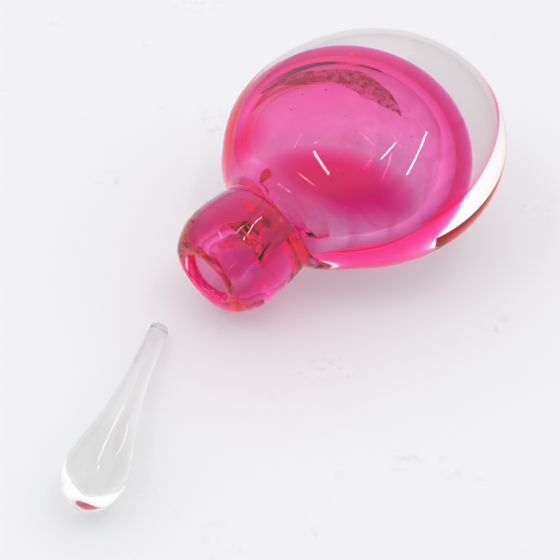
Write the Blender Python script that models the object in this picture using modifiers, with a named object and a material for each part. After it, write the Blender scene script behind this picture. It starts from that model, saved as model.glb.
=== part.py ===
"""Hand-blown cased-glass perfume bottle, lying on its side, with its loose teardrop stopper."""

import math

import bpy
from mathutils import Vector

# ---------------------------------------------------------------- driving dimensions (metres)

# The bottle is turned about its own axis. Heights run along that axis: plus is the base end,
# minus is the mouth. The turned body is then flattened across the axis into a pebble.
BODY_RADIUS = 0.0460
BASE_LENGTH = 0.0475
SHOULDER_LENGTH = 0.0449
FACET_HEIGHT = 0.0461
SHOULDER_END = -0.0405
BODY_FLATNESS = 0.566
BODY_ROUNDS_FROM = -0.031
BODY_ROUNDS_TO = -0.050
# The hand-blown body leans to the -X side, by this much at the base and not at all at the neck.
BASE_LEAN = 0.0025
LEAN_STARTS = -0.020
LEAN_LENGTH = 0.065

# Radius and height of points down the outside of the neck, from the pinch to the mouth face.
NECK_OUTSIDE = (
    (0.0174, -0.0428),
    (0.0171, -0.0448),
    (0.0174, -0.0501),
    (0.0177, -0.0558),
    (0.0170, -0.0617),
    (0.0150, -0.0662),
    (0.0132, -0.0686),
    (0.0114, -0.0695),
)

# The pink core: an inner gather whose middle sits a little nearer the mouth.
CORE_RADIUS = 0.0375
CORE_LENGTH = 0.0322
CORE_MIDDLE = -0.0060
CORE_SHOULDER_END = -0.0330
CORE_FLATNESS = 0.525
CORE_ROUNDS_FROM = -0.028
CORE_ROUNDS_TO = -0.044
CORE_NECK = (
    (0.0146, -0.0360),
    (0.0122, -0.0400),
    (0.0111, -0.0440),
    (0.0118, -0.0511),
    (0.0123, -0.0572),
    (0.0119, -0.0633),
    (0.0110, -0.0674),
    (0.0103, -0.0696),
)

# The core and its cavity sit off the middle of the body, nearer the upper face as the bottle
# lies. The neck stays on the axis.
CORE_RISE = 0.0020
CORE_OFFSET_FROM = -0.022
CORE_OFFSET_TO = -0.042

# The open cavity, and the bore that joins it to the mouth.
CAVITY_RADIUS = 0.0338
CAVITY_LENGTH = 0.0290
CAVITY_MIDDLE = -0.0075
CAVITY_SHOULDER_END = -0.0322
CAVITY_FLATNESS = 0.495
CAVITY_ROUNDS_FROM = -0.028
CAVITY_ROUNDS_TO = -0.040
BORE = (
    (0.0098, -0.0352),
    (0.0062, -0.0378),
    (0.0046, -0.0410),
    (0.0043, -0.0450),
    (0.0044, -0.0491),
    (0.0053, -0.0524),
    (0.0070, -0.0557),
    (0.0078, -0.0602),
    (0.0078, -0.0648),
    (0.0081, -0.0675),
    (0.0090, -0.0692),
)

# The casing and the core are fused on the real bottle. This gap keeps their solids apart.
FUSED_GAP = 0.0003

# The stopper: radius and distance from the tip, from the bulb's crown down to the ground tip.
STOPPER_OUTSIDE = (
    (0.0026, 0.0747),
    (0.0054, 0.0728),
    (0.0076, 0.0697),
    (0.0088, 0.0651),
    (0.0088, 0.0611),
    (0.0080, 0.0555),
    (0.0067, 0.0484),
    (0.0056, 0.0424),
    (0.0048, 0.0367),
    (0.0042, 0.0308),
    (0.0035, 0.0220),
    (0.0032, 0.0132),
    (0.0029, 0.0055),
    (0.0028, 0.0004),
)
STOPPER_CROWN = 0.0752
STOPPER_TIP_FACE_RADIUS = 0.0024
STOPPER_TIP = Vector((-0.0037, -0.0846, 0.0028))
STOPPER_YAW = math.radians(32.4)
STOPPER_SLOPE = math.radians(5.4)

# How the bottle lies: mouth end down until both the pebble and the neck touch the table.
NECK_DOWN = math.radians(9.95)

# Mesh fineness.
BOTTLE_SEGMENTS = 48
STOPPER_SEGMENTS = 32
ARC_STEPS = 18
SPLINE_STEPS = 2
MERGE_DISTANCE = 0.00005
SAME_SPOT = 0.00001

COLLECTION_NAME = "perfume_bottle"


# ---------------------------------------------------------------- profiles

def arc(radius, length, middle, first_height, last_height):
    """Points down an oval's side, from one height to a lower one, as (radius, height)."""
    first = math.acos(max(-1.0, min(1.0, (first_height - middle) / length)))
    last = math.acos(max(-1.0, min(1.0, (last_height - middle) / length)))
    points = []
    for step in range(ARC_STEPS + 1):
        angle = first + (last - first) * step / ARC_STEPS
        points.append((radius * math.sin(angle), middle + length * math.cos(angle)))
    return points


def smooth_through(points):
    """A Catmull-Rom curve through the points, which starts and ends on them."""
    padded = [points[0]] + list(points) + [points[-1]]
    curve = [points[0]]
    for index in range(len(points) - 1):
        before, start, end, after = (Vector(point) for point in padded[index:index + 4])
        for step in range(1, SPLINE_STEPS + 1):
            share = step / SPLINE_STEPS
            spot = 0.5 * (
                2.0 * start
                + (end - before) * share
                + (2.0 * before - 5.0 * start + 4.0 * end - after) * share ** 2
                + (3.0 * start - before - 3.0 * end + after) * share ** 3
            )
            curve.append((spot.x, spot.y))
    return curve


def casing_outside():
    """Base facet, pebble and neck, from the middle of the facet to the mouth face."""
    base = arc(BODY_RADIUS, BASE_LENGTH, 0.0, FACET_HEIGHT, 0.0)
    shoulder = arc(BODY_RADIUS, SHOULDER_LENGTH, 0.0, 0.0, SHOULDER_END)
    neck = smooth_through(shoulder[-1:] + list(NECK_OUTSIDE))
    return [(0.0, FACET_HEIGHT)] + base + shoulder[1:] + neck[1:]


def core_outside():
    """Outside of the pink core, from its base pole to the mouth face."""
    top = CORE_MIDDLE + CORE_LENGTH
    oval = arc(CORE_RADIUS, CORE_LENGTH, CORE_MIDDLE, top, CORE_SHOULDER_END)
    neck = smooth_through(oval[-1:] + list(CORE_NECK))
    return [(0.0, top)] + oval[1:] + neck[1:]


def casing_inside():
    """The core's outside, moved outwards by the gap. A flattened wall needs a wider step."""
    outline = core_outside()
    grown = [(0.0, outline[0][1] + FUSED_GAP)]
    for index in range(1, len(outline)):
        radius, height = outline[index]
        before = Vector(outline[index - 1])
        after = Vector(outline[min(index + 1, len(outline) - 1)])
        along = (after - before).normalized()
        sideways = FUSED_GAP / core_flatness(height)
        grown.append((radius - along.y * sideways, height + along.x * FUSED_GAP))
    return grown


def cavity_inside():
    """The cavity and the bore, from the cavity's base pole to the bore's edge."""
    top = CAVITY_MIDDLE + CAVITY_LENGTH
    oval = arc(CAVITY_RADIUS, CAVITY_LENGTH, CAVITY_MIDDLE, top, CAVITY_SHOULDER_END)
    bore = smooth_through(oval[-1:] + list(BORE))
    return [(0.0, top)] + oval[1:] + bore[1:]


# ---------------------------------------------------------------- flattening and lean

def flatness(height, body_value, rounds_from, rounds_to):
    """How much the section at a height is squashed: the body's value, rising to 1 at the neck."""
    share = (height - rounds_from) / (rounds_to - rounds_from)
    share = max(0.0, min(1.0, share))
    share = share * share * (3.0 - 2.0 * share)
    return body_value + (1.0 - body_value) * share


def casing_flatness(height):
    return flatness(height, BODY_FLATNESS, BODY_ROUNDS_FROM, BODY_ROUNDS_TO)


def core_flatness(height):
    return flatness(height, CORE_FLATNESS, CORE_ROUNDS_FROM, CORE_ROUNDS_TO)


def cavity_flatness(height):
    return flatness(height, CAVITY_FLATNESS, CAVITY_ROUNDS_FROM, CAVITY_ROUNDS_TO)


def lean(height):
    """How far the section at a height stands off the bottle's axis, to the -X side."""
    share = max(0.0, (height - LEAN_STARTS) / LEAN_LENGTH)
    return BASE_LEAN * share * share


def body_share(height):
    """How much of the core's offset a section takes: all in the body, none in the neck."""
    return 1.0 - flatness(height, 0.0, CORE_OFFSET_FROM, CORE_OFFSET_TO)


# ---------------------------------------------------------------- Blender helpers

def clear_scene():
    for item in list(bpy.data.objects):
        bpy.data.objects.remove(item, do_unlink=True)


def glass_material(name, colour, roughness):
    material = bpy.data.materials.new(name)
    material.use_nodes = True
    shader = material.node_tree.nodes["Principled BSDF"]
    shader.inputs["Base Color"].default_value = (*colour, 1.0)
    shader.inputs["Roughness"].default_value = roughness
    shader.inputs["Metallic"].default_value = 0.0
    material.diffuse_color = (*colour, 1.0)
    return material


def empty(name, collection, location=(0.0, 0.0, 0.0), parent=None):
    item = bpy.data.objects.new(name, None)
    item.empty_display_size = 0.02
    item.location = location
    item.parent = parent
    collection.objects.link(item)
    return item


def turned(name, profile, segments, material, collection):
    """Turn a profile of (radius, height) points into a solid with a Screw modifier."""
    mesh = bpy.data.meshes.new(name)
    vertices = [(radius, 0.0, height) for radius, height in profile]
    edges = [(index, index + 1) for index in range(len(profile) - 1)]
    mesh.from_pydata(vertices, edges, [])
    mesh.materials.append(material)
    item = bpy.data.objects.new(name, mesh)
    collection.objects.link(item)
    screw = item.modifiers.new("turning", "SCREW")
    screw.axis = "Z"
    screw.angle = math.tau
    screw.steps = segments
    screw.render_steps = segments
    screw.use_merge_vertices = True
    screw.merge_threshold = MERGE_DISTANCE
    return item


def freeze(item):
    """Replace an object's mesh by its modified shape."""
    graph = bpy.context.evaluated_depsgraph_get()
    solid = bpy.data.meshes.new_from_object(item.evaluated_get(graph))
    item.modifiers.clear()
    old = item.data
    item.data = solid
    solid.name = item.name
    bpy.data.meshes.remove(old)


def slump(item, surface_at):
    """Flatten a turned solid, lean it and set its core off the middle, vertex by vertex."""
    for vertex in item.data.vertices:
        flatness_rule, in_core = surface_at(vertex.co)
        spot = vertex.co
        spot.y *= flatness_rule(spot.z)
        spot.x -= lean(spot.z)
        if in_core:
            spot.y -= CORE_RISE * body_share(spot.z)


# ---------------------------------------------------------------- the pieces

def surface_chooser(outer_profile, outer_surface, inner_surface):
    """A rule that tells outside from inside by a vertex's place on the turned, round solid.

    Each surface is its flatness rule, and whether it takes the core's offset.
    """
    def surface_at(place):
        radius = math.hypot(place.x, place.y)
        nearest = min(
            math.hypot(radius - spot[0], place.z - spot[1]) for spot in outer_profile
        )
        return outer_surface if nearest < SAME_SPOT else inner_surface
    return surface_at


def build_casing(material, collection):
    outside = casing_outside()
    inside = casing_inside()
    solid = turned("clear_casing", outside + inside[::-1], BOTTLE_SEGMENTS, material, collection)
    freeze(solid)
    slump(solid, surface_chooser(outside, (casing_flatness, False), (core_flatness, True)))
    return solid


def build_core(material, collection):
    outside = core_outside()
    inside = cavity_inside()
    solid = turned("pink_core", outside + inside[::-1], BOTTLE_SEGMENTS, material, collection)
    freeze(solid)
    slump(solid, surface_chooser(outside, (core_flatness, True), (cavity_flatness, True)))
    return solid


def build_stopper(material, collection):
    side = smooth_through(STOPPER_OUTSIDE)
    profile = [(0.0, STOPPER_CROWN)] + side + [(STOPPER_TIP_FACE_RADIUS, 0.0), (0.0, 0.0)]
    return turned("stopper", profile, STOPPER_SEGMENTS, material, collection)


def world_corners(items):
    bpy.context.view_layer.update()
    graph = bpy.context.evaluated_depsgraph_get()
    low = Vector((math.inf,) * 3)
    high = Vector((-math.inf,) * 3)
    for item in items:
        shaped = item.evaluated_get(graph)
        for vertex in shaped.data.vertices:
            place = item.matrix_world @ vertex.co
            low = Vector(map(min, low, place))
            high = Vector(map(max, high, place))
    return low, high


def build():
    clear_scene()
    collection = bpy.data.collections.new(COLLECTION_NAME)
    bpy.context.scene.collection.children.link(collection)

    clear_glass = glass_material("clear_glass", (0.93, 0.94, 0.95), 0.03)
    pink_glass = glass_material("pink_glass", (0.86, 0.10, 0.36), 0.03)
    stopper_glass = glass_material("stopper_glass", (0.92, 0.93, 0.93), 0.05)

    whole = empty("bottle_on_table", collection)
    bottle_axis = empty("bottle_axis", collection, parent=whole)
    stopper_lift = empty("stopper_lift", collection, location=STOPPER_TIP, parent=whole)

    casing = build_casing(clear_glass, collection)
    core = build_core(pink_glass, collection)
    stopper = build_stopper(stopper_glass, collection)

    for piece in (casing, core):
        piece.parent = bottle_axis
    stopper.parent = stopper_lift
    # The stopper's own axis runs from its tip to its crown: laid flat, turned, tip down.
    stopper.rotation_euler = (math.pi / 2.0 - STOPPER_SLOPE, 0.0, STOPPER_YAW)

    # The bottle's axis turns from upright to lying: base towards +Y, mouth a little down.
    bottle_axis.rotation_euler = (-math.pi / 2.0 + NECK_DOWN, 0.0, 0.0)
    low, _ = world_corners((casing,))
    bottle_axis.location.z = -low.z
    low, _ = world_corners((stopper,))
    stopper_lift.location.z -= low.z

    low, high = world_corners((casing, core, stopper))
    middle = (low + high) / 2.0
    whole.location = (-middle.x, -middle.y, 0.0)
    bpy.context.view_layer.update()


build()
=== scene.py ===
"""Looks for the cased-glass perfume bottle and its loose teardrop stopper."""

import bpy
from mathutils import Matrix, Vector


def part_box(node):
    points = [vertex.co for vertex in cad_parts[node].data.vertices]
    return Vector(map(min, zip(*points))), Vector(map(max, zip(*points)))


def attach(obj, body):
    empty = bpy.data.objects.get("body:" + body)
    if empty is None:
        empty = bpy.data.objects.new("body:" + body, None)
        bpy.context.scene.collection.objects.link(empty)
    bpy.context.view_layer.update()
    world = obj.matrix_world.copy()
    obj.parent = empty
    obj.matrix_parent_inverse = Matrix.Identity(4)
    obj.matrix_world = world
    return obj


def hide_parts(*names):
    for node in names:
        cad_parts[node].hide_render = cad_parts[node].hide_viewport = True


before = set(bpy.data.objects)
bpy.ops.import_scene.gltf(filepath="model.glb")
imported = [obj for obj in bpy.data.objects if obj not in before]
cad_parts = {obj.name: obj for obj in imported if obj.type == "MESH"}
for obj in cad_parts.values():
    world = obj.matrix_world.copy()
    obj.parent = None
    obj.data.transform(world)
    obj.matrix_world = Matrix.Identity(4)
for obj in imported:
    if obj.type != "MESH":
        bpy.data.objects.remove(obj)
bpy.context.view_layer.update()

import math
import random

import bmesh
import bpy
from mathutils import Matrix, Vector, noise

# ---------------------------------------------------------------- dimensions (metres)

# The bottle's own axis: heights run along it, plus at the base, minus at the mouth.
BODY_RADIUS = 0.0460
BASE_LENGTH = 0.0475
SHOULDER_LENGTH = 0.0449
FACET_HEIGHT = 0.0461
SHOULDER_END = -0.0405
# Each flatness is the body's value, the height where it starts to round and where it is round.
BODY_FLATNESS = (0.566, -0.031, -0.050)
ROUND = (1.0, 0.0, 1.0)
# The body leans to the -X side, by this much at the base and not at all at the neck.
BASE_LEAN = 0.0025
LEAN_STARTS = -0.020
LEAN_LENGTH = 0.065
# Radius and height down the outside of the neck, round to the bore's edge.
NECK_OUTSIDE = (
    (0.0174, -0.0428),
    (0.0171, -0.0448),
    (0.0174, -0.0501),
    (0.0177, -0.0558),
    (0.0170, -0.0617),
    (0.0150, -0.0662),
    (0.0132, -0.0686),
    (0.0112, -0.0695),
    (0.0095, -0.0695),
)
CORE_RADIUS = 0.0375
CORE_LENGTH = 0.0322
CORE_MIDDLE = -0.0060
CORE_SHOULDER_END = -0.0330
CORE_FLATNESS = (0.525, -0.028, -0.044)
CORE_NECK = (
    (0.0146, -0.0360),
    (0.0122, -0.0400),
    (0.0111, -0.0440),
    (0.0118, -0.0511),
    (0.0123, -0.0572),
    (0.0119, -0.0633),
    (0.0110, -0.0674),
    (0.0100, -0.0688),
)
# The core sits nearer the upper face as the bottle lies. The neck stays on the axis.
CORE_RISE = 0.0020
CORE_RISE_FADES = (0.0, -0.022, -0.042)
CAVITY_RADIUS = 0.0338
CAVITY_LENGTH = 0.0290
CAVITY_MIDDLE = -0.0075
CAVITY_SHOULDER_END = -0.0322
CAVITY_FLATNESS = (0.495, -0.028, -0.040)
BORE = (
    (0.0098, -0.0352),
    (0.0062, -0.0378),
    (0.0046, -0.0410),
    (0.0043, -0.0450),
    (0.0044, -0.0491),
    (0.0053, -0.0524),
    (0.0070, -0.0557),
    (0.0078, -0.0602),
    (0.0078, -0.0648),
    (0.0081, -0.0675),
    (0.0090, -0.0692),
)
NECK_DOWN = math.radians(9.95)
# The pink layer stops this far short of the cavity wall and the mouth face.
PINK_INSET = 0.0002

# Radius and distance from the stopper's tip, from the bulb's crown down.
STOPPER_OUTSIDE = (
    (0.0026, 0.0747),
    (0.0054, 0.0728),
    (0.0076, 0.0697),
    (0.0088, 0.0651),
    (0.0088, 0.0611),
    (0.0080, 0.0555),
    (0.0067, 0.0484),
    (0.0056, 0.0424),
    (0.0048, 0.0367),
    (0.0042, 0.0308),
    (0.0035, 0.0220),
    (0.0032, 0.0132),
    (0.0029, 0.0055),
    (0.0028, 0.0004),
)
STOPPER_CROWN = 0.0752
STOPPER_TIP_FACE_RADIUS = 0.0024
STOPPER_YAW = math.radians(32.4)
STOPPER_SLOPE = math.radians(5.4)

BOTTLE_SEGMENTS = 160
STOPPER_SEGMENTS = 96
ARC_STEPS = 48
SPLINE_STEPS = 8

SHARP_ANGLE = math.radians(35.0)
POLE_RADIUS = 1e-7

# ---------------------------------------------------------------- glass and residue

GLASS_IOR = 1.46
# Under the thick base end the pebble mirrors less, so the core shows only once through the rim.
# That part spans these bearings about the body's middle, from the base end towards +X.
UNDERSIDE_IOR = 1.25
UNDERSIDE_BEARINGS = (-25.0, 108.0)
CLEAR_TINT = (0.99, 0.99, 0.985)
# The underside's darker tint is painted shade on the lower rim's faces.
UNDERSIDE_PAINTED_SHADE = (0.86, 0.83, 0.84)
OLIVE_TINT = (0.92, 0.89, 0.82)
OLIVE_STARTS = -0.052
OLIVE_FULL = -0.070
# The narrow channel between the cavity and the mouth was ground, and so was the base flat.
CHANNEL_MIDDLE = (0.0, 0.0, -0.0450)
CHANNEL_GROUND_REACH = (0.0075, 0.0075, 0.0105)
CHANNEL_STAIN_REACH = (0.0080, 0.0080, 0.0110)
CHANNEL_STAIN = (0.74, 0.34, 0.46)
GROUND_ROUGHNESS = 0.16
TIP_ROUGHNESS = 0.22
SURFACE_WAVES = 0.0006
# What the pink glass lets through of red, green and blue, and how strongly it takes the rest.
PINK_PASSES = (0.985, 0.0, 0.66, 1.0)
PINK_DENSITY = 200.0
CORD_TINT = (0.98, 0.86, 0.93)
DEEPER_SIDE_TINT = (1.0, 0.80, 0.90)
# The deep spots' colour. On the front spot it is painted shade.
DEEP_TINT = (1.0, 0.05, 0.56)

# The dried residue on the cavity's upper wall: a crescent about the cavity's middle, whose film is
# partly a painted reflection of the cavity's edge. Each row is an angle from the base towards -X,
# then its inner and outer reach as shares of the cavity.
RESIDUE_AND_REFLECTION_CRESCENT = (
    (-46.0, 0.56, 0.58),
    (-30.0, 0.40, 0.58),
    (-5.0, 0.30, 0.59),
    (22.0, 0.35, 0.65),
    (50.0, 0.45, 0.65),
    (75.0, 0.52, 0.75),
    (98.0, 0.85, 0.87),
)
# Below zero: the residue lies just inside the glass, where the cavity's wall can't hide it.
RESIDUE_LIFT = -0.00010
FILM_ALONG = 90
FILM_ACROSS = 14
BEAD_COUNT = 70
FLECK_COUNT = 34
BEAD_RADII = (0.00018, 0.00024, 0.00032, 0.00045)
FLECK_RADII = (0.00010, 0.00014, 0.00020, 0.00032)
RANDOM_SEED = 11

# ---------------------------------------------------------------- table, room and camera

TABLE_SIZE = 8.0
TABLE_DROP = 0.0002
# The table's painted glow: the table lights itself, standing in for the bounced light of a light tent.
TABLE_PAINTED_GLOW = 0.31
# A painted pink pool of light on the table beside the neck, carried in the table's glow.
PAINTED_PINK_GLOW_MIDDLE = (0.016, -0.012, 0.0)
PAINTED_PINK_GLOW_REACH = (0.050, 0.050, 0.050)
# The room is bright all round, but for a darker side that the pebble's low front mirrors.
ROOM_STRENGTH = 0.99
DARK_SIDE = (0.68, -0.68, 0.27)
BODY_MIDDLE = Vector((0.0, 0.051, 0.027))
LIGHT_DISTANCE = 1.3
# Each strip light: name, length and width, power, and the way to it from the body's middle.
STRIP_LIGHTS = (
    ("long strip", (0.75, 0.025), 1.5, (0.30, 0.19, 0.93)),
    ("short strip", (0.30, 0.018), 0.4, (0.09, 0.02, 0.99)),
    ("side strip", (0.40, 0.03), 0.8, (-0.27, -0.42, 0.86)),
)
CAMERA_AIM = Vector((0.0047, 0.0098, 0.0))
CAMERA_AZIMUTH = math.radians(45.0)
CAMERA_ELEVATION = math.radians(43.0)
CAMERA_DISTANCE = 0.5
CAMERA_LENS = 102.3
CAMERA_SENSOR = 36.0


# ---------------------------------------------------------------- profiles

def arc(radius, length, middle, first_height, last_height, squash):
    """Points down an oval's side as (radius, height, flatness)."""
    first = math.acos(max(-1.0, min(1.0, (first_height - middle) / length)))
    last = math.acos(max(-1.0, min(1.0, (last_height - middle) / length)))
    points = []
    for step in range(ARC_STEPS + 1):
        angle = first + (last - first) * step / ARC_STEPS
        height = middle + length * math.cos(angle)
        points.append((radius * math.sin(angle), height, flatness(height, squash)))
    return points


def smooth_through(points, squash):
    """A Catmull-Rom curve through (radius, height) points, with each point's flatness added."""
    padded = [points[0]] + list(points) + [points[-1]]
    curve = [(*points[0][:2], flatness(points[0][1], squash))]
    for index in range(len(points) - 1):
        before, start, end, after = (Vector(spot[:2]) for spot in padded[index:index + 4])
        for step in range(1, SPLINE_STEPS + 1):
            share = step / SPLINE_STEPS
            spot = 0.5 * (
                2.0 * start
                + (end - before) * share
                + (2.0 * before - 5.0 * start + 4.0 * end - after) * share ** 2
                + (3.0 * start - before - 3.0 * end + after) * share ** 3
            )
            curve.append((spot.x, spot.y, flatness(spot.y, squash)))
    return curve


def flatness(height, squash):
    """How much the section at a height is squashed: the body's value, rising to 1 at the neck."""
    value, rounds_from, rounds_to = squash
    share = (height - rounds_from) / (rounds_to - rounds_from)
    share = max(0.0, min(1.0, share))
    share = share * share * (3.0 - 2.0 * share)
    return value + (1.0 - value) * share


def body_middle(height):
    """Where the hand-blown body's section has its middle: it leans to the -X side at the base."""
    share = max(0.0, (height - LEAN_STARTS) / LEAN_LENGTH)
    return Vector((-BASE_LEAN * share * share, 0.0, height))


def on_axis(height):
    return Vector((0.0, 0.0, height))


def core_middle(height):
    """Where the core's section has its middle."""
    share = 1.0 - flatness(height, CORE_RISE_FADES)
    return body_middle(height) + Vector((0.0, -CORE_RISE * share, 0.0))


def casing_outside():
    """Base flat, pebble and neck, from the middle of the flat to the mouth face."""
    base = arc(BODY_RADIUS, BASE_LENGTH, 0.0, FACET_HEIGHT, 0.0, BODY_FLATNESS)
    shoulder = arc(BODY_RADIUS, SHOULDER_LENGTH, 0.0, 0.0, SHOULDER_END, BODY_FLATNESS)
    neck = smooth_through([shoulder[-1]] + list(NECK_OUTSIDE), BODY_FLATNESS)
    return [(0.0, FACET_HEIGHT, BODY_FLATNESS[0])] + base + shoulder[1:] + neck[1:]


def core_outside():
    """Outside of the pink core, from its base pole to just short of the mouth face."""
    top = CORE_MIDDLE + CORE_LENGTH
    oval = arc(CORE_RADIUS, CORE_LENGTH, CORE_MIDDLE, top, CORE_SHOULDER_END, CORE_FLATNESS)
    neck = smooth_through([oval[-1]] + list(CORE_NECK), CORE_FLATNESS)
    return [(0.0, top, CORE_FLATNESS[0])] + oval[1:] + neck[1:]


def cavity_inside(grow=0.0):
    """The cavity and the bore, from the base pole to the bore's edge, moved outwards by grow."""
    top = CAVITY_MIDDLE + CAVITY_LENGTH
    oval = arc(CAVITY_RADIUS, CAVITY_LENGTH, CAVITY_MIDDLE, top, CAVITY_SHOULDER_END, CAVITY_FLATNESS)
    bore = smooth_through([oval[-1]] + list(BORE), CAVITY_FLATNESS)
    outline = [(0.0, top, CAVITY_FLATNESS[0])] + oval[1:] + bore[1:]
    if not grow:
        return outline
    grown = [(0.0, top + grow, CAVITY_FLATNESS[0])]
    for index in range(1, len(outline)):
        radius, height, squash = outline[index]
        before = Vector(outline[index - 1][:2])
        after = Vector(outline[min(index + 1, len(outline) - 1)][:2])
        along = (after - before).normalized()
        grown.append((radius - along.y * grow / squash, height + along.x * grow, squash))
    return grown


# ---------------------------------------------------------------- meshes

def mesh_object(name, vertices, faces):
    """A smooth-shaded object, with its sharp corners kept sharp."""
    mesh = bpy.data.meshes.new(name)
    mesh.from_pydata([tuple(spot) for spot in vertices], [], faces)
    mesh.polygons.foreach_set("use_smooth", [True] * len(mesh.polygons))
    mesh.set_sharp_from_angle(angle=SHARP_ANGLE)
    mesh.update()
    item = bpy.data.objects.new(name, mesh)
    bpy.context.scene.collection.objects.link(item)
    return item


def turned(name, surfaces, segments):
    """Turn surfaces into one closed smooth mesh, from the first one's top to the last one's end.

    Each surface is its (radius, height, flatness) points and where its sections' middles are.
    """
    vertices = []
    rings = []
    for profile, middle_at in surfaces:
        for radius, height, squash in profile:
            middle = middle_at(height)
            if radius < POLE_RADIUS:
                rings.append([len(vertices)])
                vertices.append(middle)
                continue
            rings.append(list(range(len(vertices), len(vertices) + segments)))
            for index in range(segments):
                angle = math.tau * index / segments
                around = Vector((radius * math.cos(angle), radius * math.sin(angle) * squash, 0.0))
                vertices.append(middle + around)
    faces = []
    for upper, lower in zip(rings, rings[1:]):
        for index in range(segments):
            after = (index + 1) % segments
            if len(upper) == 1 and len(lower) == 1:
                break
            if len(upper) == 1:
                faces.append((upper[0], lower[index], lower[after]))
            elif len(lower) == 1:
                faces.append((upper[index], lower[0], upper[after]))
            else:
                faces.append((upper[index], lower[index], lower[after], upper[after]))
    return mesh_object(name, vertices, faces)


def box_of(item, matrix):
    spots = [matrix @ vertex.co for vertex in item.data.vertices]
    low = Vector([min(spot[axis] for spot in spots) for axis in range(3)])
    high = Vector([max(spot[axis] for spot in spots) for axis in range(3)])
    return low, high


def place_like(item, node, matrix):
    """Where a turned piece goes: the matrix, moved so that the piece's box sits on the node's."""
    low, high = box_of(item, matrix)
    node_low, node_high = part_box(node)
    middle = (Vector(node_low) + Vector(node_high)) / 2.0
    return Matrix.Translation(middle - (low + high) / 2.0) @ matrix


# ---------------------------------------------------------------- materials

def node(tree, kind, **settings):
    """Add a shader node. Settings are its own properties, or else its inputs' values."""
    made = tree.nodes.new(kind)
    for key, value in settings.items():
        if hasattr(made, key):
            setattr(made, key, value)
        else:
            made.inputs[key.replace("_", " ")].default_value = value
    return made


def fresh_material(name):
    material = bpy.data.materials.new(name)
    material.use_nodes = True
    return material, material.node_tree, material.node_tree.nodes["Principled BSDF"]


def object_spot(tree):
    return node(tree, "ShaderNodeTexCoord").outputs["Object"]


def speckle(tree, spot, scale, detail=3.0):
    """Cloudy noise from 0 to 1 over the object."""
    noise_node = node(tree, "ShaderNodeTexNoise", Scale=scale, Detail=detail)
    tree.links.new(spot, noise_node.inputs["Vector"])
    return noise_node.outputs["Fac"]


def ramped(tree, value, low, high, first=0.0, last=1.0):
    """Stretch a value from the range low..high to first..last, clamped."""
    stretch = node(
        tree, "ShaderNodeMapRange", From_Min=low, From_Max=high, To_Min=first, To_Max=last
    )
    tree.links.new(value, stretch.inputs["Value"])
    return stretch.outputs["Result"]


def times(tree, first, second):
    product = node(tree, "ShaderNodeMath", operation="MULTIPLY")
    tree.links.new(first, product.inputs[0])
    tree.links.new(second, product.inputs[1])
    return product.outputs["Value"]


def tinted(tree, factor, under, over):
    """Mix two colours. Either colour may be a socket or a plain colour."""
    blend = node(tree, "ShaderNodeMixRGB")
    tree.links.new(factor, blend.inputs["Fac"])
    for socket, colour in ((blend.inputs["Color1"], under), (blend.inputs["Color2"], over)):
        if isinstance(colour, tuple):
            socket.default_value = (*colour, 1.0)
        else:
            tree.links.new(colour, socket)
    return blend.outputs["Color"]


def blob(tree, spot, middle, turn, reach):
    """An oval mask: 1 at its middle, 0 at its edge."""
    place = node(
        tree, "ShaderNodeMapping", vector_type="TEXTURE",
        Location=middle, Rotation=(0.0, turn, 0.0), Scale=reach,
    )
    tree.links.new(spot, place.inputs["Vector"])
    fall = node(tree, "ShaderNodeTexGradient", gradient_type="SPHERICAL")
    tree.links.new(place.outputs["Vector"], fall.inputs["Vector"])
    return fall.outputs["Fac"]


def bumped(tree, shader, height, strength, distance):
    bump = node(tree, "ShaderNodeBump", Strength=strength, Distance=distance)
    tree.links.new(height, bump.inputs["Height"])
    tree.links.new(bump.outputs["Normal"], shader.inputs["Normal"])


def glass_material(name):
    material, tree, shader = fresh_material(name)
    shader.inputs["Transmission Weight"].default_value = 1.0
    shader.inputs["IOR"].default_value = GLASS_IOR
    return material, tree, shader


def casing_glass(name, ior, tint):
    """Clear glass with an olive cast at the mouth, soft ripples, and frosted ground surfaces."""
    material, tree, shader = glass_material(name)
    shader.inputs["IOR"].default_value = ior
    spot = object_spot(tree)
    split = node(tree, "ShaderNodeSeparateXYZ")
    tree.links.new(spot, split.inputs["Vector"])
    mouth_end = ramped(tree, split.outputs["Z"], OLIVE_STARTS, OLIVE_FULL)
    tree.links.new(tinted(tree, mouth_end, tint, OLIVE_TINT), shader.inputs["Base Color"])
    channel = blob(tree, spot, CHANNEL_MIDDLE, 0.0, CHANNEL_GROUND_REACH)
    base_flat = ramped(tree, split.outputs["Z"], FACET_HEIGHT - 0.0002, FACET_HEIGHT - 0.0001)
    ground = node(tree, "ShaderNodeMath", operation="MAXIMUM")
    tree.links.new(ramped(tree, channel, 0.10, 0.22), ground.inputs[0])
    tree.links.new(base_flat, ground.inputs[1])
    frosting = ramped(tree, ground.outputs["Value"], 0.0, 1.0, 0.0, GROUND_ROUGHNESS)
    tree.links.new(frosting, shader.inputs["Roughness"])
    grit = times(tree, ground.outputs["Value"], speckle(tree, spot, 900.0, 2.0))
    surface_height = node(tree, "ShaderNodeMath", operation="ADD")
    tree.links.new(grit, surface_height.inputs[0])
    tree.links.new(speckle(tree, spot, 26.0, 1.0), surface_height.inputs[1])
    bumped(tree, shader, surface_height.outputs["Value"], 0.12, SURFACE_WAVES)
    return material


clear_glass = casing_glass("clear casing glass", GLASS_IOR, CLEAR_TINT)
# The underside copy of the glass carries a darker tint: painted shade.
shaded_underside_glass = casing_glass("clear casing glass underside with painted shade", UNDERSIDE_IOR, UNDERSIDE_PAINTED_SHADE)
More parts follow.
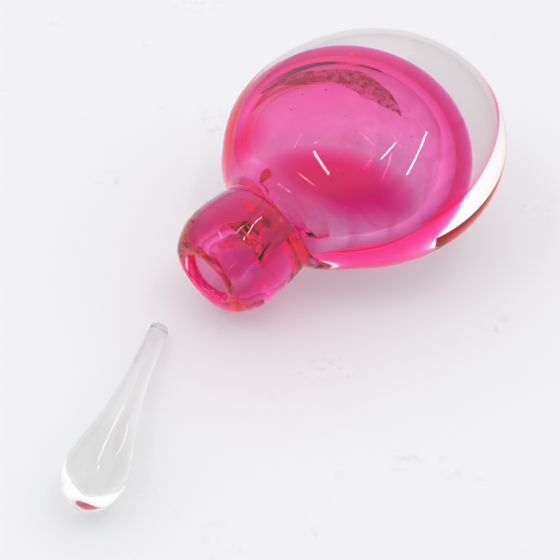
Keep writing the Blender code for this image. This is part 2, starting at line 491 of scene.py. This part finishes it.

# The stopper: clear, with painted grey shade in the bulb and a ground tip.
stopper_glass, stopper_tree, stopper_shader = glass_material("stopper glass")
stopper_spot = object_spot(stopper_tree)
stopper_split = node(stopper_tree, "ShaderNodeSeparateXYZ")
stopper_tree.links.new(stopper_spot, stopper_split.inputs["Vector"])
painted_bulb_shade = blob(stopper_tree, stopper_spot, (0.002, -0.006, 0.056), 0.0, (0.010, 0.012, 0.018))
stopper_tree.links.new(
    tinted(stopper_tree, painted_bulb_shade, (0.985, 0.99, 0.985), (0.86, 0.85, 0.82)),
    stopper_shader.inputs["Base Color"],
)
stopper_tree.links.new(
    ramped(stopper_tree, stopper_split.outputs["Z"], 0.0050, 0.0040, 0.0, TIP_ROUGHNESS),
    stopper_shader.inputs["Roughness"],
)
stopper_waves = speckle(stopper_tree, stopper_spot, 40.0, 1.0)
bumped(stopper_tree, stopper_shader, stopper_waves, 0.06, SURFACE_WAVES)

# The pink core: its volume soaks up green and some blue. Its surface only adds the cord lines,
# the deeper -X side, two deep spots, and the stained channel. The front deep spot is painted
# shade, where light crosses the layer twice over the table's shadow.
pink_glass = bpy.data.materials.new("pink core glass")
pink_glass.use_nodes = True
pink_tree = pink_glass.node_tree
pink_tree.nodes.clear()
pink_out = node(pink_tree, "ShaderNodeOutputMaterial")
pink_surface = node(pink_tree, "ShaderNodeBsdfTransparent")
pink_volume = node(pink_tree, "ShaderNodeVolumeAbsorption", Color=PINK_PASSES, Density=PINK_DENSITY)
pink_spot = object_spot(pink_tree)
# Painted shade: the deep front spot, where light crosses the pink layer twice over the table's shadow.
painted_deep_shade_front = blob(
    pink_tree, pink_spot, (0.013, -0.010, -0.0240), math.radians(-25.0), (0.026, 0.016, 0.0100)
)
deep_side = blob(pink_tree, pink_spot, (-0.022, -0.010, -0.0270), 0.0, (0.010, 0.014, 0.010))
channel_wall = blob(pink_tree, pink_spot, CHANNEL_MIDDLE, 0.0, CHANNEL_STAIN_REACH)
cords = node(pink_tree, "ShaderNodeTexWave", wave_type="RINGS", Scale=38.0, Distortion=9.0, Detail=2.0)
pink_tree.links.new(pink_spot, cords.inputs["Vector"])
pink_split = node(pink_tree, "ShaderNodeSeparateXYZ")
pink_tree.links.new(pink_spot, pink_split.inputs["Vector"])
cord_lines = ramped(pink_tree, cords.outputs["Fac"], 0.86, 1.0)
deeper_side = ramped(pink_tree, pink_split.outputs["X"], 0.012, -0.030)
pink_tint = tinted(pink_tree, cord_lines, (1.0, 1.0, 1.0), CORD_TINT)
for share, colour in (
    (deeper_side, DEEPER_SIDE_TINT),
    (ramped(pink_tree, painted_deep_shade_front, 0.0, 0.50), DEEP_TINT),
    (ramped(pink_tree, deep_side, 0.0, 1.2), DEEP_TINT),
    (ramped(pink_tree, channel_wall, 0.08, 0.35, 0.0, 0.5), CHANNEL_STAIN),
):
    pink_tint = tinted(pink_tree, share, pink_tint, colour)
pink_tree.links.new(pink_tint, pink_surface.inputs["Color"])
pink_tree.links.new(pink_surface.outputs["BSDF"], pink_out.inputs["Surface"])
pink_tree.links.new(pink_volume.outputs["Volume"], pink_out.inputs["Volume"])

# The residue: a translucent dark red film with denser crumbs, and glossy beads and flecks. The film's
# dark red band is partly painted reflection: the crimson that the cavity's edge mirrors inwards.
residue_and_reflection_film, film_tree, film_shader = fresh_material("dried residue film with painted reflection")
film_spot = object_spot(film_tree)
crumbs = ramped(film_tree, speckle(film_tree, film_spot, 420.0, 4.0), 0.46, 0.66)
film_shader.inputs["Roughness"].default_value = 0.45
film_tree.links.new(
    # The film's dark reds: the residue's own colour in its crumbs, and a painted reflection band.
    tinted(film_tree, crumbs, (0.85, 0.09, 0.15), (0.52, 0.02, 0.05)),
    film_shader.inputs["Base Color"],
)
film_tree.links.new(ramped(film_tree, crumbs, 0.0, 1.0, 0.42, 0.9), film_shader.inputs["Alpha"])
bumped(film_tree, film_shader, crumbs, 0.5, 0.0004)

residue_bead, bead_tree, bead_shader = fresh_material("dried residue beads")
bead_shader.inputs["Roughness"].default_value = 0.12
bead_mottle = speckle(bead_tree, object_spot(bead_tree), 500.0)
bead_tree.links.new(
    tinted(bead_tree, bead_mottle, (0.75, 0.06, 0.16), (0.40, 0.012, 0.05)),
    bead_shader.inputs["Base Color"],
)

# ---------------------------------------------------------------- the bottle

glass_surfaces = ((casing_outside(), body_middle), (cavity_inside()[::-1], core_middle))
glass_body = turned("glass_body", glass_surfaces, BOTTLE_SEGMENTS)
lying = Matrix.Rotation(-math.pi / 2.0 + NECK_DOWN, 4, "X")
bottle_place = place_like(glass_body, "clear_casing", lying)
glass_body.matrix_world = bottle_place
glass_body.data.materials.append(clear_glass)
glass_body.data.materials.append(shaded_underside_glass)
# The outside's faces come first, ring by ring.
outer_faces = (len(casing_outside()) - 1) * BOTTLE_SEGMENTS
for face in glass_body.data.polygons[:outer_faces]:
    bearing = math.degrees(math.atan2(face.center.x, face.center.z))
    if face.center.y > 0.0 and UNDERSIDE_BEARINGS[0] < bearing < UNDERSIDE_BEARINGS[1]:
        face.material_index = 1

pink_surfaces = ((core_outside(), core_middle), (cavity_inside(PINK_INSET)[::-1], core_middle))
pink_layer = turned("pink_layer", pink_surfaces, BOTTLE_SEGMENTS)
pink_layer.matrix_world = bottle_place
pink_layer.data.materials.append(pink_glass)

# ---------------------------------------------------------------- the dried residue and painted reflection

def crescent_reach(angle):
    """The crescent's inner and outer reach at an angle, between the rows of its outline."""
    for first, last in zip(RESIDUE_AND_REFLECTION_CRESCENT, RESIDUE_AND_REFLECTION_CRESCENT[1:]):
        if angle <= last[0]:
            share = (angle - first[0]) / (last[0] - first[0])
            share = share * share * (3.0 - 2.0 * share)
            return tuple(first[side] + (last[side] - first[side]) * share for side in (1, 2))
    return RESIDUE_AND_REFLECTION_CRESCENT[-1][1:]


def wall_spot(angle, reach, lift):
    """A spot on the cavity's upper wall, lifted towards the middle of the cavity."""
    across = -reach * math.sin(math.radians(angle))
    along = reach * math.cos(math.radians(angle))
    upward = math.sqrt(max(0.0, 1.0 - reach * reach))
    height = CAVITY_MIDDLE + (CAVITY_LENGTH - lift) * along
    squash = flatness(height, CAVITY_FLATNESS)
    around = Vector((
        (CAVITY_RADIUS - lift) * across, -(CAVITY_RADIUS * squash - lift) * upward, 0.0
    ))
    return core_middle(height) + around


def crescent_film():
    """The film of residue and painted reflection: a grid along and across the crescent, with a ragged
    edge.
    """
    first_angle = RESIDUE_AND_REFLECTION_CRESCENT[0][0]
    last_angle = RESIDUE_AND_REFLECTION_CRESCENT[-1][0]
    vertices = []
    for column in range(FILM_ALONG + 1):
        angle = first_angle + (last_angle - first_angle) * column / FILM_ALONG
        inner, outer = crescent_reach(angle)
        ragged = 0.030 * noise.noise(Vector((angle * 0.11, 0.0, 3.0)))
        ragged += 0.015 * noise.noise(Vector((angle * 0.45, 5.0, 0.0)))
        inner = min(outer - 0.01, inner + ragged)
        for row in range(FILM_ACROSS + 1):
            reach = inner + (outer - inner) * row / FILM_ACROSS
            vertices.append(wall_spot(angle, reach, RESIDUE_LIFT))
    faces = []
    step = FILM_ACROSS + 1
    for column in range(FILM_ALONG):
        for row in range(FILM_ACROSS):
            corner = column * step + row
            faces.append((corner, corner + 1, corner + 1 + step, corner + step))
    return mesh_object("residue_and_reflection_film", vertices, faces)


def scattered(name, spots):
    """Small flattened beads at the given (place, radius) spots, joined into one object."""
    builder = bmesh.new()
    for place, radius in spots:
        stretch = Matrix.Diagonal((1.0, 0.5, random.uniform(0.7, 1.5), 1.0))
        spin = Matrix.Rotation(random.uniform(0.0, math.tau), 4, "Y")
        bmesh.ops.create_icosphere(
            builder, subdivisions=2, radius=radius, matrix=Matrix.Translation(place) @ spin @ stretch
        )
    mesh = bpy.data.meshes.new(name)
    builder.to_mesh(mesh)
    builder.free()
    mesh.polygons.foreach_set("use_smooth", [True] * len(mesh.polygons))
    item = bpy.data.objects.new(name, mesh)
    bpy.context.scene.collection.objects.link(item)
    return item


random.seed(RANDOM_SEED)
beads = []
for _ in range(BEAD_COUNT):
    bead_angle = random.uniform(RESIDUE_AND_REFLECTION_CRESCENT[0][0] + 4.0, RESIDUE_AND_REFLECTION_CRESCENT[-1][0] - 12.0)
    bead_inner, bead_outer = crescent_reach(bead_angle)
    bead_radius = random.choice(BEAD_RADII)
    bead_reach = random.uniform(bead_inner - 0.01, bead_outer - 0.01)
    beads.append((wall_spot(bead_angle, bead_reach, RESIDUE_LIFT), bead_radius))
flecks = []
for _ in range(FLECK_COUNT):
    fleck_angle = random.uniform(-180.0, 180.0)
    fleck_reach = math.sqrt(random.uniform(0.0, 0.55))
    fleck_radius = random.choice(FLECK_RADII)
    flecks.append((wall_spot(fleck_angle, fleck_reach, RESIDUE_LIFT), fleck_radius))

residue_and_reflection_pieces = (
    (crescent_film(), residue_and_reflection_film),
    (scattered("residue_beads", beads), residue_bead),
    (scattered("residue_flecks", flecks), residue_bead),
)
for piece, paint in residue_and_reflection_pieces:
    piece.matrix_world = bottle_place
    piece.data.materials.append(paint)

# ---------------------------------------------------------------- the stopper

stopper_side = smooth_through(STOPPER_OUTSIDE, ROUND)
stopper_profile = [(0.0, STOPPER_CROWN, 1.0)] + stopper_side
stopper_profile += [(STOPPER_TIP_FACE_RADIUS, 0.0, 1.0), (0.0, 0.0, 1.0)]
stopper = turned("stopper_glass", ((stopper_profile, on_axis),), STOPPER_SEGMENTS)
stopper_lies = Matrix.Rotation(STOPPER_YAW, 4, "Z") @ Matrix.Rotation(
    math.pi / 2.0 - STOPPER_SLOPE, 4, "X"
)
stopper.matrix_world = place_like(stopper, "stopper", stopper_lies)
stopper.data.materials.append(stopper_glass)

bpy.context.view_layer.update()
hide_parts("clear_casing")
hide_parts("pink_core")
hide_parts("stopper")
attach(glass_body, "bottle")
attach(pink_layer, "bottle")
for piece, _ in residue_and_reflection_pieces:
    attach(piece, "bottle")
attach(stopper, "stopper")

# ---------------------------------------------------------------- table, light and camera

bpy.ops.mesh.primitive_plane_add(size=TABLE_SIZE, location=(0.0, 0.0, -TABLE_DROP))
table = bpy.context.object
table.name = "table_top"
table_paint, table_tree, table_shader = fresh_material("white table")
table_spot = object_spot(table_tree)
scuffs = times(
    table_tree,
    ramped(table_tree, speckle(table_tree, table_spot, 34.0, 6.0), 0.60, 0.80),
    ramped(table_tree, speckle(table_tree, table_spot, 310.0, 2.0), 0.52, 0.66),
)
table_tree.links.new(
    tinted(table_tree, scuffs, (0.55, 0.553, 0.563), (0.40, 0.39, 0.39)),
    table_shader.inputs["Base Color"],
)
table_shader.inputs["Roughness"].default_value = 0.55
# The white surface has a painted glow of its own, standing in for the bounced light of a light tent,
# so shadows on it stay pale.
# Beside the neck the glow is tinted pink: a painted pool of the pink light that the core throws down.
painted_pink_glow = blob(table_tree, table_spot, PAINTED_PINK_GLOW_MIDDLE, 0.0, PAINTED_PINK_GLOW_REACH)
table_tree.links.new(
    tinted(table_tree, painted_pink_glow, (1.0, 1.0, 1.0), (1.0, 0.80, 0.92)),
    table_shader.inputs["Emission Color"],
)
table_shader.inputs["Emission Strength"].default_value = TABLE_PAINTED_GLOW
table.data.materials.append(table_paint)

world = bpy.data.worlds.new("studio")
bpy.context.scene.world = world
world.use_nodes = True
sky = world.node_tree
background = sky.nodes["Background"]
direction = node(sky, "ShaderNodeTexCoord")
split = node(sky, "ShaderNodeSeparateXYZ")
sky.links.new(direction.outputs["Generated"], split.inputs["Vector"])
walls = ramped(sky, split.outputs["Z"], 0.0, 0.42)
room = tinted(sky, walls, (0.50, 0.47, 0.48), (1.02, 1.02, 1.03))
front = node(sky, "ShaderNodeVectorMath", operation="DOT_PRODUCT")
front.inputs[1].default_value = DARK_SIDE
sky.links.new(direction.outputs["Generated"], front.inputs[0])
dark_share = ramped(sky, front.outputs["Value"], 0.60, 0.90)
sky.links.new(tinted(sky, dark_share, room, (0.22, 0.22, 0.23)), background.inputs["Color"])
background.inputs["Strength"].default_value = ROOM_STRENGTH


def soft_light(name, size, power, location, aim):
    lamp = bpy.data.lights.new(name, "AREA")
    lamp.shape = "RECTANGLE"
    lamp.size, lamp.size_y = size
    lamp.energy = power
    item = bpy.data.objects.new(name, lamp)
    item.location = location
    item.rotation_euler = (aim - location).to_track_quat("-Z", "Y").to_euler()
    bpy.context.scene.collection.objects.link(item)


for name, size, power, toward in STRIP_LIGHTS:
    soft_light(name, size, power, Vector(toward) * LIGHT_DISTANCE + BODY_MIDDLE, BODY_MIDDLE)

camera = bpy.data.objects.new("camera", bpy.data.cameras.new("camera"))
back = Vector((
    math.sin(CAMERA_AZIMUTH) * math.cos(CAMERA_ELEVATION),
    -math.cos(CAMERA_AZIMUTH) * math.cos(CAMERA_ELEVATION),
    math.sin(CAMERA_ELEVATION),
))
camera.location = CAMERA_AIM + back * CAMERA_DISTANCE
camera.rotation_euler = (-back).to_track_quat("-Z", "Y").to_euler()
camera.data.sensor_width = CAMERA_SENSOR
camera.data.lens = CAMERA_LENS
bpy.context.scene.collection.objects.link(camera)
bpy.context.scene.camera = camera

view = bpy.context.scene.view_settings
view.view_transform = "Standard"
cycles = bpy.context.scene.cycles
cycles.max_bounces = 24
cycles.transmission_bounces = 24
cycles.glossy_bounces = 12
cycles.transparent_max_bounces = 32
